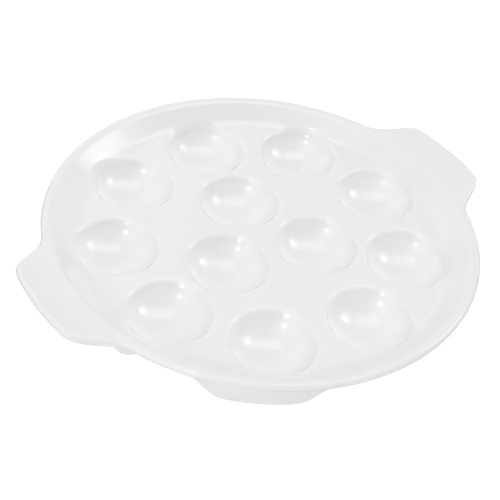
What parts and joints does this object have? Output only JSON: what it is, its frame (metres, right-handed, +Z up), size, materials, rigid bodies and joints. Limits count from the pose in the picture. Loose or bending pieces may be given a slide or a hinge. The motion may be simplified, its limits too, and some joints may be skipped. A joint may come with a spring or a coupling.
{
  "type": "escargot dish",
  "caption": "Round white ceramic escargot dish with a flat deck of round snail wells, a raised sloping rim, lug handles and short arc-shaped feet.",
  "frame": {"origin": "centre of the dish on the surface it stands on", "axes": "+X along the line through the two handles, +Z up out of the wells"},
  "size_m": [0.254, 0.22, 0.031],
  "materials": {
    "white_glaze": "gloss white glaze",
    "foot_glaze": "white glaze, bare where it stands"
  },
  "bodies": {
    "root": {"dish_tray": "white_glaze", "well_cup_01": "white_glaze", "well_cup_02": "white_glaze", "well_cup_03": "white_glaze", "well_cup_04": "white_glaze", "well_cup_05": "white_glaze", "well_cup_06": "white_glaze", "well_cup_07": "white_glaze", "well_cup_08": "white_glaze", "well_cup_09": "white_glaze", "well_cup_10": "white_glaze", "well_cup_11": "white_glaze", "well_cup_12": "white_glaze", "handle_right": "white_glaze", "handle_left": "white_glaze", "foot_01": "foot_glaze", "foot_02": "foot_glaze", "foot_03": "foot_glaze", "foot_04": "foot_glaze", "foot_05": "foot_glaze", "foot_06": "foot_glaze"}
  },
  "joints": []
}
